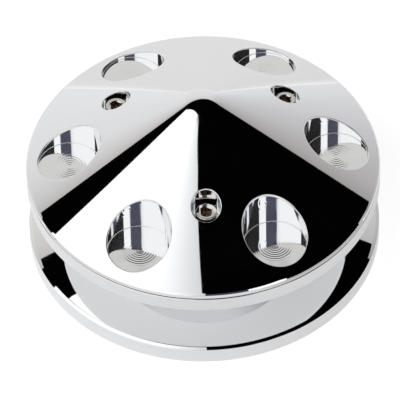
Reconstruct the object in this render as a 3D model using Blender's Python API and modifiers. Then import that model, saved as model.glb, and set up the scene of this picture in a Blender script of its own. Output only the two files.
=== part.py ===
"""Single groove V-belt idler pulley with a screwed-on conical nose cover.

The pulley turns on a sealed ball bearing, and the bearing sits on a stepped bush that one bolt
clamps to a bracket. +Z is the axis of rotation and points out of the nose. The origin is on the
axis, in the rear face of the bush, which is the face that the bracket carries.
"""

from math import acos, atan, cos, pi, radians, sin, sqrt, tan

import bmesh
import bpy
from mathutils import Matrix, Vector

MM = 0.001

# Pulley
PULLEY_DIAMETER = 76.2 * MM
GROOVE_TOP_WIDTH = 12.7 * MM
GROOVE_DEPTH = 12.5 * MM
GROOVE_INCLUDED_ANGLE = radians(36)
REAR_RIM_WIDTH = 4.0 * MM
FRONT_RIM_WIDTH = 3.5 * MM
RIM_CHAMFER = 0.2 * MM
RELIEF_DEPTH = 1.2 * MM
RELIEF_RIM_LAND = 4.6 * MM
REAR_BOSS_WALL = 3.0 * MM
SHOULDER_LAP = 2.0 * MM

# Nose cover
NOSE_HEIGHT = 21.65 * MM
NOSE_TIP_RADIUS = 8.0 * MM
COVER_EDGE_HEIGHT = 0.7 * MM
COVER_EDGE_CHAMFER = 0.17 * MM
POCKET_DIAMETER = 13.7 * MM
POCKET_RIM_LAND = 2.6 * MM
POCKET_FLOOR_THICKNESS = 1.2 * MM
POCKET_COUNT = 6
SPIGOT_LENGTH = 1.2 * MM
SPIGOT_WALL = 2.5 * MM
ROOF_THICKNESS = 6.0 * MM
ROOF_FLAT_RADIUS = 5.0 * MM

# Cover screws, socket head cap screws of number 4 size
SCREW_COUNT = 3
SCREW_HEAD_DIAMETER = 4.65 * MM
SCREW_HEAD_HEIGHT = 2.84 * MM
SCREW_HEAD_CHAMFER = 0.2 * MM
SCREW_SHANK_DIAMETER = 2.85 * MM
SCREW_LENGTH = 12.7 * MM
SCREW_TIP_CHAMFER = 0.4 * MM
SCREW_SEAT_THICKNESS = 5.4 * MM
SCREW_HOLE_WALL = 0.7 * MM
SCREW_HOLE_SPARE = 0.6 * MM
SOCKET_ACROSS_FLATS = 2.38 * MM
SOCKET_DEPTH = 1.6 * MM
COUNTERBORE_CLEARANCE = 0.75 * MM

# Ball bearing, 15 x 35 x 11
BEARING_BORE = 15.0 * MM
BALL_DIAMETER = 5.95 * MM
BALL_COUNT = 8
RACE_WALL = 2.025 * MM
SHOULDER_HEIGHT = 0.72 * MM
CAGE_RADIAL_WIDTH = 2.6 * MM
CAGE_BACK = 0.6 * MM
SEAL_CLEARANCE = 0.425 * MM
SEAL_THICKNESS = 0.8 * MM
SEAL_INSET = 0.4 * MM

# Retaining ring in the pulley's mouth
RING_THICKNESS = 1.5 * MM
RING_GROOVE_DEPTH = 0.8 * MM
RING_WIDTH = 2.0 * MM
RING_TAPER = 0.35 * MM
RING_MOUTH_ANGLE = radians(20)
RING_LUG_LENGTH = 3.4 * MM
RING_LUG_ANGLE = radians(13)
RING_LUG_HOLE_DIAMETER = 1.6 * MM

# Mounting bush and front collar
BUSH_STAND_OUT = 1.5 * MM
BUSH_FLANGE_DIAMETER = 20.0 * MM
BUSH_CHAMFER = 0.4 * MM
BOLT_HOLE_DIAMETER = 10.2 * MM
COLLAR_THICKNESS = 2.5 * MM
COLLAR_DIAMETER = 20.0 * MM

GAP = 0.3 * MM  # between faces that touch on the real part
PULLEY_SEGMENTS = 60
BEARING_SEGMENTS = 32
HOLE_SEGMENTS = 32
SCREW_SEGMENTS = 24
OVERRUN = 2.0 * MM  # how far a cutter runs past the surface it cuts

# Bearing, worked out from the balls
ball_radius = BALL_DIAMETER / 2
pitch_radius = BEARING_BORE / 2 + RACE_WALL + ball_radius
bearing_outer_radius = pitch_radius + ball_radius + RACE_WALL
race_radius = ball_radius + GAP
bearing_half_width = ball_radius + GAP + CAGE_BACK + SEAL_CLEARANCE + SEAL_THICKNESS + SEAL_INSET
inner_shoulder_radius = pitch_radius - ball_radius + SHOULDER_HEIGHT
outer_shoulder_radius = pitch_radius + ball_radius - SHOULDER_HEIGHT

# Heights along the axis
pulley_rear = BUSH_STAND_OUT
groove_rear = pulley_rear + REAR_RIM_WIDTH
groove_front = groove_rear + GROOVE_TOP_WIDTH
pulley_front = groove_front + FRONT_RIM_WIDTH
bearing_centre = (groove_rear + groove_front) / 2
bearing_rear = bearing_centre - bearing_half_width
bearing_front = bearing_centre + bearing_half_width
ring_rear = bearing_front + GAP
cover_bottom = pulley_front + GAP
cover_edge = cover_bottom + COVER_EDGE_HEIGHT
screw_seat = cover_bottom + SCREW_SEAT_THICKNESS

# Radii about the axis
pulley_radius = PULLEY_DIAMETER / 2
groove_floor_radius = pulley_radius - GROOVE_DEPTH
pulley_bore_radius = bearing_outer_radius + GAP
ring_groove_radius = pulley_bore_radius + RING_GROOVE_DEPTH
screw_hole_radius = SCREW_SHANK_DIAMETER / 2 + GAP
screw_circle_radius = ring_groove_radius + SCREW_HOLE_WALL + screw_hole_radius
pocket_circle_radius = pulley_radius - POCKET_RIM_LAND - POCKET_DIAMETER / 2
spigot_radius = pulley_bore_radius - GAP
cavity_radius = spigot_radius - SPIGOT_WALL

# Cone of the nose: it would come to a point NOSE_HEIGHT above the cover's edge
cone_foot_radius = pulley_radius - COVER_EDGE_CHAMFER
cone_slope = NOSE_HEIGHT / cone_foot_radius
cone_angle = atan(cone_slope)


def cone_height(radius):
    return cover_edge + (cone_foot_radius - radius) * cone_slope


def clear_scene():
    for obj in list(bpy.data.objects):
        bpy.data.objects.remove(obj, do_unlink=True)


def make_collection(name):
    collection = bpy.data.collections.new(name)
    bpy.context.scene.collection.children.link(collection)
    return collection


def make_material(name, colour, metallic, roughness):
    material = bpy.data.materials.new(name)
    material.use_nodes = True
    shader = material.node_tree.nodes["Principled BSDF"]
    shader.inputs["Base Color"].default_value = (*colour, 1)
    shader.inputs["Metallic"].default_value = metallic
    shader.inputs["Roughness"].default_value = roughness
    return material


def make_axis(name, height):
    axis = bpy.data.objects.new(name, None)
    axis.location.z = height
    parts.objects.link(axis)
    return axis


def place(obj, material, parent):
    """Gives a finished part its material and hangs it on its body's axis."""
    obj.data.materials.append(material)
    obj.parent = parent
    obj.matrix_parent_inverse = Matrix.Translation((0, 0, -parent.location.z))


def add_mesh_object(name, mesh, collection):
    obj = bpy.data.objects.new(name, mesh)
    collection.objects.link(obj)
    return obj


def make_turned(name, profile, segments, collection, closed=True):
    """A turned piece: the profile is (radius, height) points, down its outer side first."""
    mesh = bpy.data.meshes.new(name)
    count = len(profile)
    edges = [(i, (i + 1) % count) for i in range(count if closed else count - 1)]
    mesh.from_pydata([(radius, 0, height) for radius, height in profile], edges, [])
    obj = add_mesh_object(name, mesh, collection)
    screw = obj.modifiers.new("Turn", "SCREW")
    screw.steps = segments
    screw.render_steps = segments
    screw.use_merge_vertices = True
    screw.merge_threshold = 0.00001
    screw.use_smooth_shade = True
    return obj


def make_cylinder(radius, bottom, top, segments):
    mesh = bpy.data.meshes.new("cylinder")
    shape = bmesh.new()
    middle = Matrix.Translation((0, 0, (bottom + top) / 2))
    bmesh.ops.create_cone(
        shape,
        cap_ends=True,
        segments=segments,
        radius1=radius,
        radius2=radius,
        depth=top - bottom,
        matrix=middle,
    )
    shape.to_mesh(mesh)
    shape.free()
    return mesh


def make_sphere(radius, segments, rings):
    mesh = bpy.data.meshes.new("sphere")
    shape = bmesh.new()
    bmesh.ops.create_uvsphere(shape, u_segments=segments, v_segments=rings, radius=radius)
    shape.to_mesh(mesh)
    shape.free()
    return mesh


def make_cutters(name):
    collection = bpy.data.collections.new(name)
    cutters.children.link(collection)
    return collection


def add_cutter(obj, location=(0, 0, 0)):
    obj.location = location
    obj.hide_render = True
    obj.display_type = "WIRE"


def cut(obj, collection):
    boolean = obj.modifiers.new("Cut " + collection.name, "BOOLEAN")
    boolean.operation = "DIFFERENCE"
    boolean.solver = "EXACT"
    boolean.operand_type = "COLLECTION"
    boolean.collection = collection


def around(radius, angle, height=0.0):
    """A place on a circle about the axis, the angle taken from -Y towards +X."""
    return Vector((radius * sin(angle), -radius * cos(angle), height))


def screw_angle(index):
    return 2 * pi * index / SCREW_COUNT


def pocket_angle(index):
    return 2 * pi * (index + 0.5) / POCKET_COUNT


def build_pulley_body(axis):
    wall_run = GROOVE_DEPTH * tan(GROOVE_INCLUDED_ANGLE / 2)
    rear_boss_radius = pulley_bore_radius + REAR_BOSS_WALL
    relief_outer_radius = pulley_radius - RELIEF_RIM_LAND
    shoulder_radius = pulley_bore_radius - SHOULDER_LAP
    ring_groove_front = ring_rear + RING_THICKNESS + GAP
    profile = [
        (pulley_radius - RIM_CHAMFER, pulley_front),
        (pulley_radius, pulley_front - RIM_CHAMFER),
        (pulley_radius, groove_front + RIM_CHAMFER),
        (pulley_radius - RIM_CHAMFER, groove_front),
        (groove_floor_radius, groove_front - wall_run),
        (groove_floor_radius, groove_rear + wall_run),
        (pulley_radius - RIM_CHAMFER, groove_rear),
        (pulley_radius, groove_rear - RIM_CHAMFER),
        (pulley_radius, pulley_rear + RIM_CHAMFER),
        (pulley_radius - RIM_CHAMFER, pulley_rear),
        (relief_outer_radius, pulley_rear),
        (relief_outer_radius - RELIEF_DEPTH, pulley_rear + RELIEF_DEPTH),
        (rear_boss_radius + RELIEF_DEPTH, pulley_rear + RELIEF_DEPTH),
        (rear_boss_radius, pulley_rear),
        (shoulder_radius, pulley_rear),
        (shoulder_radius, bearing_rear - GAP),
        (pulley_bore_radius, bearing_rear - GAP),
        (pulley_bore_radius, ring_rear - GAP),
        (ring_groove_radius, ring_rear - GAP),
        (ring_groove_radius, ring_groove_front),
        (pulley_bore_radius, ring_groove_front),
        (pulley_bore_radius, pulley_front),
    ]
    body = make_turned("pulley_body", profile, PULLEY_SEGMENTS, parts)
    holes = make_cutters("tapped_holes")
    screw_tip = screw_seat + GAP - SCREW_LENGTH
    drill = make_cylinder(
        screw_hole_radius, screw_tip - SCREW_HOLE_SPARE, pulley_front + OVERRUN, SCREW_SEGMENTS
    )
    for i in range(SCREW_COUNT):
        hole = add_mesh_object(f"tapped_hole_{i + 1}", drill, holes)
        add_cutter(hole, around(screw_circle_radius, screw_angle(i)))
    cut(body, holes)
    place(body, polished_aluminium, axis)


def build_nose_cover(axis):
    tip_end = NOSE_TIP_RADIUS * sin(cone_angle)
    tip_centre = cone_height(tip_end) - NOSE_TIP_RADIUS * cos(cone_angle)
    tip_steps = 4
    tip = []
    for i in range(tip_steps + 1):
        turn = cone_angle * i / tip_steps
        tip.append((NOSE_TIP_RADIUS * sin(turn), tip_centre + NOSE_TIP_RADIUS * cos(turn)))
    profile = tip + [
        (cone_foot_radius, cover_edge),
        (pulley_radius, cover_edge - COVER_EDGE_CHAMFER),
        (pulley_radius, cover_bottom + COVER_EDGE_CHAMFER),
        (cone_foot_radius, cover_bottom),
        (spigot_radius, cover_bottom),
        (spigot_radius, cover_bottom - GAP - SPIGOT_LENGTH),
        (cavity_radius, cover_bottom - GAP - SPIGOT_LENGTH),
        (cavity_radius, cone_height(cavity_radius) - ROOF_THICKNESS),
        (ROOF_FLAT_RADIUS, cone_height(ROOF_FLAT_RADIUS) - ROOF_THICKNESS),
        (0, cone_height(ROOF_FLAT_RADIUS) - ROOF_THICKNESS),
    ]
    cover = make_turned("nose_cover", profile, PULLEY_SEGMENTS, parts, closed=False)
    nose_top = cover_edge + NOSE_HEIGHT + OVERRUN
    pockets = make_cutters("pockets")
    end_mill = make_cylinder(
        POCKET_DIAMETER / 2, cover_bottom + POCKET_FLOOR_THICKNESS, nose_top, HOLE_SEGMENTS
    )
    for i in range(POCKET_COUNT):
        pocket = add_mesh_object(f"pocket_{i + 1}", end_mill, pockets)
        add_cutter(pocket, around(pocket_circle_radius, pocket_angle(i)))
    cut(cover, pockets)
    counterbores = make_cutters("counterbores")
    counterbore_radius = SCREW_HEAD_DIAMETER / 2 + COUNTERBORE_CLEARANCE
    step_drill = [
        (0, nose_top),
        (counterbore_radius, nose_top),
        (counterbore_radius, screw_seat),
        (screw_hole_radius, screw_seat),
        (screw_hole_radius, cover_bottom - OVERRUN),
        (0, cover_bottom - OVERRUN),
    ]
    for i in range(SCREW_COUNT):
        name = f"counterbore_{i + 1}"
        bore = make_turned(name, step_drill, SCREW_SEGMENTS, counterbores, closed=False)
        add_cutter(bore, around(screw_circle_radius, screw_angle(i)))
    cut(cover, counterbores)
    place(cover, polished_aluminium, axis)


def build_cover_screws(axis):
    head_radius = SCREW_HEAD_DIAMETER / 2
    shank_radius = SCREW_SHANK_DIAMETER / 2
    profile = [
        (0, SCREW_HEAD_HEIGHT),
        (head_radius - SCREW_HEAD_CHAMFER, SCREW_HEAD_HEIGHT),
        (head_radius, SCREW_HEAD_HEIGHT - SCREW_HEAD_CHAMFER),
        (head_radius, 0),
        (shank_radius, 0),
        (shank_radius, SCREW_TIP_CHAMFER - SCREW_LENGTH),
        (shank_radius - SCREW_TIP_CHAMFER, -SCREW_LENGTH),
        (0, -SCREW_LENGTH),
    ]
    socket_radius = SOCKET_ACROSS_FLATS / sqrt(3)
    hexagon = make_cylinder(
        socket_radius, SCREW_HEAD_HEIGHT - SOCKET_DEPTH, SCREW_HEAD_HEIGHT + OVERRUN, 6
    )
    for i in range(SCREW_COUNT):
        spot = around(screw_circle_radius, screw_angle(i), screw_seat + GAP)
        screw = make_turned(f"cover_screw_{i + 1}", profile, SCREW_SEGMENTS, parts, closed=False)
        screw.location = spot
        sockets = make_cutters(f"socket_{i + 1}")
        add_cutter(add_mesh_object(f"socket_key_{i + 1}", hexagon, sockets), spot)
        cut(screw, sockets)
        place(screw, stainless_steel, axis)


def race_arc(side):
    """The ball track in half section, side -1 on the inner ring and 1 on the outer."""
    shoulder = ball_radius - SHOULDER_HEIGHT
    half = acos(shoulder / race_radius)
    steps = 4
    points = []
    for i in range(steps + 1):
        turn = half * (1 - 2 * i / steps)
        points.append((pitch_radius + side * race_radius * cos(turn), race_radius * sin(turn)))
    return points


def build_bearing_rings(outer_axis, inner_axis):
    half = bearing_half_width
    bore_radius = BEARING_BORE / 2
    inner_profile = [
        (inner_shoulder_radius, half),
        *race_arc(-1),
        (inner_shoulder_radius, -half),
        (bore_radius, -half),
        (bore_radius, half),
    ]
    inner = make_turned("bearing_inner_ring", inner_profile, BEARING_SEGMENTS, parts)
    inner.location.z = bearing_centre
    place(inner, bearing_steel, inner_axis)
    outer_profile = [
        (bearing_outer_radius, half),
        (bearing_outer_radius, -half),
        (outer_shoulder_radius, -half),
        *reversed(race_arc(1)),
        (outer_shoulder_radius, half),
    ]
    outer = make_turned("bearing_outer_ring", outer_profile, BEARING_SEGMENTS, parts)
    outer.location.z = bearing_centre
    place(outer, bearing_steel, outer_axis)


def build_bearing_seals(axis):
    inner_radius = inner_shoulder_radius + GAP
    outer_radius = outer_shoulder_radius - GAP
    half = SEAL_THICKNESS / 2
    profile = [
        (outer_radius, half),
        (outer_radius, -half),
        (inner_radius, -half),
        (inner_radius, half),
    ]
    offset = bearing_half_width - SEAL_INSET - half
    for name, height in (
        ("bearing_seal_front", bearing_centre + offset),
        ("bearing_seal_rear", bearing_centre - offset),
    ):
        seal = make_turned(name, profile, BEARING_SEGMENTS, parts)
        seal.location.z = height
        place(seal, nitrile_rubber, axis)


def build_ball_train(axis):
    half_width = CAGE_RADIAL_WIDTH / 2
    back = ball_radius + GAP + CAGE_BACK
    front = -ball_radius / 2
    profile = [
        (pitch_radius + half_width, back),
        (pitch_radius + half_width, front),
        (pitch_radius - half_width, front),
        (pitch_radius - half_width, back),
    ]
    cage = make_turned("bearing_cage", profile, BEARING_SEGMENTS, parts)
    cage.location.z = bearing_centre
    ball = make_sphere(ball_radius, 12, 8)
    ball.materials.append(chrome_steel)
    seat = make_sphere(ball_radius + GAP, 12, 8)
    seats = make_cutters("cage_seats")
    for i in range(BALL_COUNT):
        spot = around(pitch_radius, 2 * pi * i / BALL_COUNT, bearing_centre)
        add_cutter(add_mesh_object(f"cage_seat_{i + 1}", seat, seats), spot)
        piece = add_mesh_object(f"bearing_ball_{i + 1}", ball, parts)
        piece.location = spot
        piece.parent = axis
        piece.matrix_parent_inverse = Matrix.Translation((0, 0, -axis.location.z))
    cut(cage, seats)
    place(cage, cage_nylon, axis)


def arc_points(radius, start, end, steps, offset=0.0):
    """Points of an arc in the XY plane, its centre moved along +Y by the offset."""
    points = []
    for i in range(steps + 1):
        turn = start + (end - start) * i / steps
        points.append((radius * cos(turn), radius * sin(turn) + offset))
    return points


def build_retaining_ring(axis):
    outer_radius = ring_groove_radius - GAP
    inner_radius = outer_radius - RING_WIDTH
    lug_radius = outer_radius - RING_LUG_LENGTH
    mouth_start = -pi / 2 + RING_MOUTH_ANGLE / 2
    mouth_end = 3 * pi / 2 - RING_MOUTH_ANGLE / 2
    lug_start = mouth_start + RING_LUG_ANGLE
    lug_end = mouth_end - RING_LUG_ANGLE
    outline = arc_points(outer_radius, mouth_start, mouth_end, 44)
    outline += arc_points(lug_radius, mouth_end, lug_end, 3)
    outline += arc_points(inner_radius, lug_end, lug_start, 40, -RING_TAPER)
    outline += arc_points(lug_radius, lug_start, mouth_start, 3)
    hole_circle = (lug_radius + outer_radius) / 2
    shape = bpy.data.curves.new("retaining_ring", "CURVE")
    shape.dimensions = "2D"
    shape.fill_mode = "BOTH"
    shape.extrude = RING_THICKNESS / 2
    loops = [outline]
    for turn in (mouth_start + RING_LUG_ANGLE / 2, mouth_end - RING_LUG_ANGLE / 2):
        centre = (hole_circle * cos(turn), hole_circle * sin(turn))
        circle = arc_points(RING_LUG_HOLE_DIAMETER / 2, 0, 2 * pi, 12)[:-1]
        loops.append([(centre[0] + x, centre[1] + y) for x, y in circle])
    for loop in loops:
        spline = shape.splines.new("POLY")
        spline.points.add(len(loop) - 1)
        spline.use_cyclic_u = True
        for point, (x, y) in zip(spline.points, loop):
            point.co = (x, y, 0, 1)
    ring = bpy.data.objects.new("retaining_ring", shape)
    parts.objects.link(ring)
    ring.location.z = ring_rear + RING_THICKNESS / 2
    place(ring, spring_steel, axis)


def build_mount_bush(axis):
    flange_radius = BUSH_FLANGE_DIAMETER / 2
    sleeve_radius = BEARING_BORE / 2 - GAP
    hole_radius = BOLT_HOLE_DIAMETER / 2
    step = bearing_rear - GAP
    profile = [
        (sleeve_radius - BUSH_CHAMFER, bearing_front),
        (sleeve_radius, bearing_front - BUSH_CHAMFER),
        (sleeve_radius, step),
        (flange_radius, step),
        (flange_radius, BUSH_CHAMFER),
        (flange_radius - BUSH_CHAMFER, 0),
        (hole_radius + BUSH_CHAMFER, 0),
        (hole_radius, BUSH_CHAMFER),
        (hole_radius, bearing_front),
    ]
    bush = make_turned("mount_bush", profile, BEARING_SEGMENTS, parts)
    place(bush, zinc_plated_steel, axis)


def build_front_collar(axis):
    outer_radius = COLLAR_DIAMETER / 2
    hole_radius = BOLT_HOLE_DIAMETER / 2
    bottom = bearing_front + GAP
    top = bottom + COLLAR_THICKNESS
    profile = [
        (outer_radius - BUSH_CHAMFER, top),
        (outer_radius, top - BUSH_CHAMFER),
        (outer_radius, bottom + BUSH_CHAMFER),
        (outer_radius - BUSH_CHAMFER, bottom),
        (hole_radius, bottom),
        (hole_radius, top - BUSH_CHAMFER),
        (hole_radius + BUSH_CHAMFER, top),
    ]
    collar = make_turned("front_collar", profile, BEARING_SEGMENTS, parts)
    place(collar, zinc_plated_steel, axis)


clear_scene()
parts = make_collection("idler_pulley")
cutters = make_collection("cutters")
cutters.hide_render = True

polished_aluminium = make_material("polished aluminium", (0.91, 0.92, 0.92), 1.0, 0.05)
stainless_steel = make_material("stainless steel", (0.62, 0.60, 0.57), 1.0, 0.25)
bearing_steel = make_material("ground bearing steel", (0.66, 0.67, 0.68), 1.0, 0.2)
chrome_steel = make_material("chrome steel", (0.75, 0.76, 0.77), 1.0, 0.08)
nitrile_rubber = make_material("nitrile rubber", (0.02, 0.02, 0.02), 0.0, 0.6)
cage_nylon = make_material("cage nylon", (0.75, 0.70, 0.58), 0.0, 0.5)
spring_steel = make_material("spring steel", (0.09, 0.09, 0.10), 1.0, 0.4)
zinc_plated_steel = make_material("zinc plated steel", (0.70, 0.71, 0.70), 1.0, 0.35)

hub_axis = make_axis("hub_axis", 0)
pulley_axis = make_axis("pulley_axis", bearing_centre)
ball_train_axis = make_axis("ball_train_axis", bearing_centre)

build_mount_bush(hub_axis)
build_front_collar(hub_axis)
build_pulley_body(pulley_axis)
build_nose_cover(pulley_axis)
build_cover_screws(pulley_axis)
build_retaining_ring(pulley_axis)
build_bearing_rings(pulley_axis, hub_axis)
build_bearing_seals(pulley_axis)
build_ball_train(ball_train_axis)
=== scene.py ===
from math import atan, atan2, ceil, cos, hypot, pi, radians, sin, sqrt, tan

import bmesh
import bpy
import numpy as np
from mathutils import Matrix, Vector
from mathutils.geometry import delaunay_2d_cdt


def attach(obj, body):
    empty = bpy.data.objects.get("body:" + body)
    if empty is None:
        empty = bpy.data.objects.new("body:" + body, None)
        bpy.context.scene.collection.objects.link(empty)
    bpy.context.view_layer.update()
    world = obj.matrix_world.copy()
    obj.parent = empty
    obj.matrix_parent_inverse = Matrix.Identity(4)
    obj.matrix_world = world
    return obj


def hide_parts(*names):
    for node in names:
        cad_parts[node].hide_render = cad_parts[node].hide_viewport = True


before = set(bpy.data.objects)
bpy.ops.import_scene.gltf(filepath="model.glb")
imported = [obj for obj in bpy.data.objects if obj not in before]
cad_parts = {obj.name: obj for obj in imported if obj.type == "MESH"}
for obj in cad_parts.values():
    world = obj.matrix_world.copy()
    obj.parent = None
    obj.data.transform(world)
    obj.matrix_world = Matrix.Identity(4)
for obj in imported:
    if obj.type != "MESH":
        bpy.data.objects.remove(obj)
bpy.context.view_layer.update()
mm = 0.001
print("frame loaded,", len(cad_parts), "nodes")


def hexColour(code):  # sRGB hex to the linear values a shader takes
    channels = [int(code[i:i + 2], 16) / 255 for i in (0, 2, 4)]
    linear = [c / 12.92 if c <= 0.04045 else ((c + 0.055) / 1.055) ** 2.4 for c in channels]
    return (*linear, 1.0)


# adds one node; settings are its own properties or its unlinked inputs, links are (input, source)
def addNode(tree, kind, settings=None, links=()):
    node = tree.nodes.new(kind)
    for name, value in (settings or {}).items():
        if hasattr(node, str(name)):
            setattr(node, name, value)
        else:
            node.inputs[name].default_value = value
    for socket, source in links:
        tree.links.new(source, node.inputs[socket])
    return node


def newMaterial(name, colour, metallic, roughness, **sockets):
    material = bpy.data.materials.new(name)
    material.use_nodes = True
    shader = material.node_tree.nodes["Principled BSDF"]
    shader.inputs["Base Color"].default_value = hexColour(colour)
    shader.inputs["Metallic"].default_value = metallic
    shader.inputs["Roughness"].default_value = roughness
    for socket, value in sockets.items():
        shader.inputs[socket].default_value = value
    return material, material.node_tree, shader


def perMetre(size):  # noise scale whose features are about this many mm across
    return 1 / (size * mm)


def waveScale(pitch):  # wave scale whose lines are this many mm apart
    return pi / (10 * pitch * mm)


# A buffed billet alloy: a near perfect mirror, with a breath of haze where the mop left compound
def makeMirrorPolishedAluminium():
    material, tree, shader = newMaterial("mirrorPolishedAluminium", "F1F2F3", 1.0, 0.02)
    place = addNode(tree, "ShaderNodeTexCoord").outputs["Object"]
    haze = addNode(tree, "ShaderNodeTexNoise", {"Scale": perMetre(9), "Detail": 3.0}, [("Vector", place)])
    rough = addNode(tree, "ShaderNodeMapRange",
                    {"From Min": 0.35, "From Max": 0.75, "To Min": 0.012, "To Max": 0.035},
                    [("Value", haze.outputs["Fac"])])
    tree.links.new(rough.outputs["Result"], shader.inputs["Roughness"])
    return material


# Pockets plunged with an end mill and only lightly buffed: bright, with faint tool lines round the
# walls. The real feed marks are about 0.05 mm apart; they are drawn at 0.45 mm so that they show
def makeEndMilledAluminium():
    material, tree, shader = newMaterial("endMilledAluminium", "EFF0F1", 0.96, 0.05)
    place = addNode(tree, "ShaderNodeTexCoord").outputs["Object"]
    stretched = addNode(tree, "ShaderNodeMapping", {"Scale": (0.12, 0.12, 1.0)}, [("Vector", place)])
    streaks = addNode(tree, "ShaderNodeTexNoise", {"Scale": perMetre(0.45), "Detail": 4.0},
                      [("Vector", stretched.outputs["Vector"])])
    rough = addNode(tree, "ShaderNodeMapRange",
                    {"From Min": 0.3, "From Max": 0.7, "To Min": 0.03, "To Max": 0.11},
                    [("Value", streaks.outputs["Fac"])])
    tree.links.new(rough.outputs["Result"], shader.inputs["Roughness"])
    ridges = addNode(tree, "ShaderNodeBump", {"Distance": 0.0012 * mm}, [("Height", streaks.outputs["Fac"])])
    tree.links.new(ridges.outputs["Normal"], shader.inputs["Normal"])
    return material


# Faces left as they came off the lathe: satin rings round the axis. The real feed is near 0.1 mm,
# too fine to show, so the rings are drawn 0.5 mm apart
def makeTurnedAluminium():
    material, tree, shader = newMaterial("turnedAluminium", "DDDEE0", 1.0, 0.16)
    place = addNode(tree, "ShaderNodeTexCoord").outputs["Object"]
    feed = addNode(tree, "ShaderNodeTexWave",
                   {"wave_type": "RINGS", "rings_direction": "Z", "Scale": waveScale(0.5), "Distortion": 1.2,
                                               "Detail": 2.0, "Detail Scale": 0.5}, [("Vector", place)])
    patches = addNode(tree, "ShaderNodeTexNoise", {"Scale": perMetre(6), "Detail": 4.0}, [("Vector", place)])
    rough = addNode(tree, "ShaderNodeMapRange",
                    {"From Min": 0.3, "From Max": 0.7, "To Min": 0.12, "To Max": 0.22},
                    [("Value", patches.outputs["Fac"])])
    tree.links.new(rough.outputs["Result"], shader.inputs["Roughness"])
    ridges = addNode(tree, "ShaderNodeBump", {"Distance": 0.004 * mm}, [("Height", feed.outputs["Fac"])])
    tree.links.new(ridges.outputs["Normal"], shader.inputs["Normal"])
    return material


# A2 stainless, headed and passivated: a warm grey bright metal with a slight orange peel
def makeStainlessCapScrew():
    material, tree, shader = newMaterial("stainlessCapScrew", "D9D6D2", 1.0, 0.11)
    place = addNode(tree, "ShaderNodeTexCoord").outputs["Object"]
    peel = addNode(tree, "ShaderNodeTexNoise", {"Scale": perMetre(0.5), "Detail": 3.0}, [("Vector", place)])
    rough = addNode(tree, "ShaderNodeMapRange",
                    {"From Min": 0.3, "From Max": 0.7, "To Min": 0.07, "To Max": 0.17},
                    [("Value", peel.outputs["Fac"])])
    tree.links.new(rough.outputs["Result"], shader.inputs["Roughness"])
    bumps = addNode(tree, "ShaderNodeBump", {"Distance": 0.0015 * mm}, [("Height", peel.outputs["Fac"])])
    tree.links.new(bumps.outputs["Normal"], shader.inputs["Normal"])
    return material


# The same steel inside the key socket: punched and unpolished, coloured a mottled brown much darker than the
# head
def makeDarkBrownSocket():
    material, tree, shader = newMaterial("darkBrownSocket", "8C7364", 1.0, 0.32)
    place = addNode(tree, "ShaderNodeTexCoord").outputs["Object"]
    mottle = addNode(tree, "ShaderNodeTexNoise", {"Scale": perMetre(0.8), "Detail": 5.0}, [("Vector", place)])
    tint = addNode(tree, "ShaderNodeValToRGB", links=[("Fac", mottle.outputs["Fac"])])
    tint.color_ramp.elements[0].position, tint.color_ramp.elements[0].color = 0.36, hexColour("4A3A33")
    tint.color_ramp.elements[1].position, tint.color_ramp.elements[1].color = 0.62, hexColour("B39E90")
    tree.links.new(tint.outputs["Color"], shader.inputs["Base Color"])
    draw = addNode(tree, "ShaderNodeBump", {"Distance": 0.01 * mm}, [("Height", mottle.outputs["Fac"])])
    tree.links.new(draw.outputs["Normal"], shader.inputs["Normal"])
    return material


# Turned mild steel with bright zinc and a clear passivate: cool grey with pale blue and straw tints
def makePassivatedZincSteel():
    material, tree, shader = newMaterial("passivatedZincSteel", "C3C8CC", 1.0, 0.26)
    place = addNode(tree, "ShaderNodeTexCoord").outputs["Object"]
    film = addNode(tree, "ShaderNodeTexNoise", {"Scale": perMetre(7), "Detail": 3.0, "Distortion": 0.6},
                   [("Vector", place)])
    tint = addNode(tree, "ShaderNodeValToRGB", links=[("Fac", film.outputs["Fac"])])
    tint.color_ramp.elements[0].position, tint.color_ramp.elements[0].color = 0.32, hexColour("B4BFCB")
    tint.color_ramp.elements[1].position, tint.color_ramp.elements[1].color = 0.68, hexColour("CCC8B9")
    tint.color_ramp.elements.new(0.5).color = hexColour("C6CACD")
    tree.links.new(tint.outputs["Color"], shader.inputs["Base Color"])
    spangle = addNode(tree, "ShaderNodeTexNoise", {"Scale": perMetre(0.6), "Detail": 5.0},
                      [("Vector", place)])
    rough = addNode(tree, "ShaderNodeMapRange",
                    {"From Min": 0.3, "From Max": 0.7, "To Min": 0.2, "To Max": 0.36},
                    [("Value", spangle.outputs["Fac"])])
    tree.links.new(rough.outputs["Result"], shader.inputs["Roughness"])
    feed = addNode(tree, "ShaderNodeTexWave",
                   {"wave_type": "RINGS", "rings_direction": "Z", "Scale": waveScale(0.4), "Distortion": 1.5,
                                               "Detail": 2.0}, [("Vector", place)])
    ridges = addNode(tree, "ShaderNodeBump", {"Distance": 0.004 * mm}, [("Height", feed.outputs["Fac"])])
    tree.links.new(ridges.outputs["Normal"], shader.inputs["Normal"])
    return material


# Hardened chrome steel rings, ground on a wheel: bright, with hair-fine lines round the axis. Real
# grinding lines are a few microns apart; these are drawn at 0.3 mm
def makeGroundBearingSteel():
    material, tree, shader = newMaterial("groundBearingSteel", "C9C8C6", 1.0, 0.12)
    place = addNode(tree, "ShaderNodeTexCoord").outputs["Object"]
    lines = addNode(tree, "ShaderNodeTexWave",
                    {"wave_type": "RINGS", "rings_direction": "Z", "Scale": waveScale(0.3), "Distortion": 3.0,
                                                "Detail": 3.0}, [("Vector", place)])
    rough = addNode(tree, "ShaderNodeMapRange", {"To Min": 0.09, "To Max": 0.17},
                    [("Value", lines.outputs["Fac"])])
    tree.links.new(rough.outputs["Result"], shader.inputs["Roughness"])
    ridges = addNode(tree, "ShaderNodeBump", {"Distance": 0.0012 * mm}, [("Height", lines.outputs["Fac"])])
    tree.links.new(ridges.outputs["Normal"], shader.inputs["Normal"])
    return material


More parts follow.
